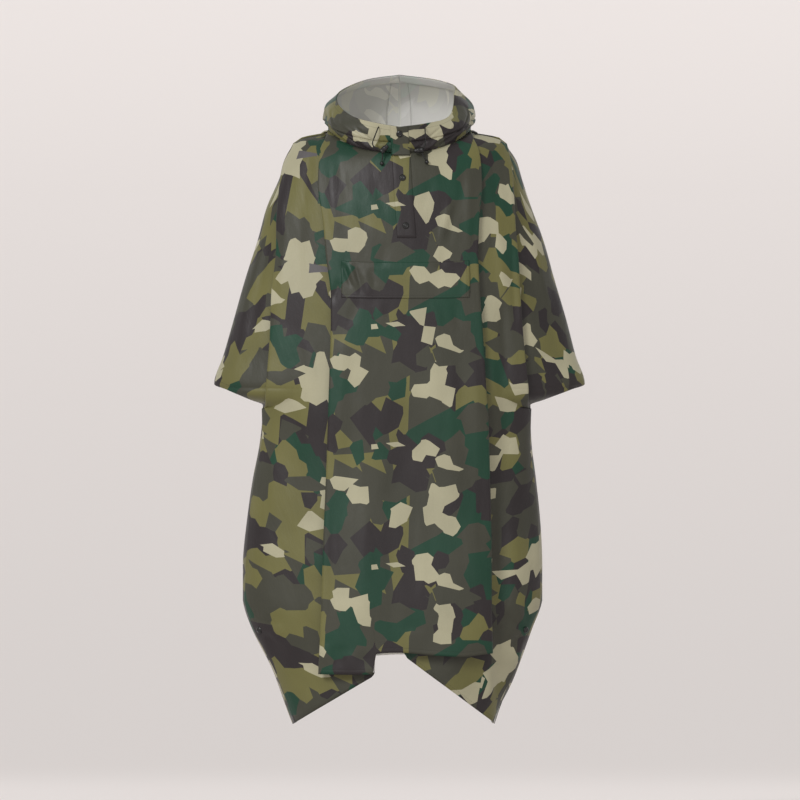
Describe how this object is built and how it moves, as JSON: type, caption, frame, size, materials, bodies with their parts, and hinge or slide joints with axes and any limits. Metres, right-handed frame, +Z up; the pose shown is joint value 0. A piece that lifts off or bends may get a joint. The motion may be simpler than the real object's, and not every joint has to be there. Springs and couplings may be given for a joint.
{
  "type": "hooded rain poncho",
  "caption": "Knee-length hooded rain poncho in printed coated cloth, worn form, with a snap placket, a chest pocket flap, a drawcord hood laid back and pointed side hems.",
  "frame": {"origin": "middle of the neckline, where the wearer's shoulders hold the poncho up", "axes": "+Z up, the front faces -Y, +X is the wearer's left"},
  "size_m": [0.7234, 0.3599, 1.2683],
  "materials": {
    "cloth": "coated satin, printed in greens, greys and beige",
    "snap": "satin",
    "cord": "braided",
    "cord_hardware": "satin"
  },
  "bodies": {
    "root": {"front_centre": "cloth", "front_left": "cloth", "front_right": "cloth", "back_centre": "cloth", "back_left": "cloth", "back_right": "cloth", "hood_left": "cloth", "hood_strip": "cloth", "hood_right": "cloth", "hood_brim": "cloth", "placket": "cloth", "pocket_flap": "cloth", "placket_snap_1": "snap", "placket_snap_2": "snap", "placket_snap_3": "snap", "side_snap_front_left": "snap", "side_snap_front_right": "snap", "side_snap_back_left": "snap", "side_snap_back_right": "snap", "drawcord_left": "cord", "drawcord_right": "cord", "cord_lock_left": "cord_hardware", "cord_lock_right": "cord_hardware", "cord_bead_left": "cord_hardware", "cord_bead_right": "cord_hardware"}
  },
  "joints": []
}
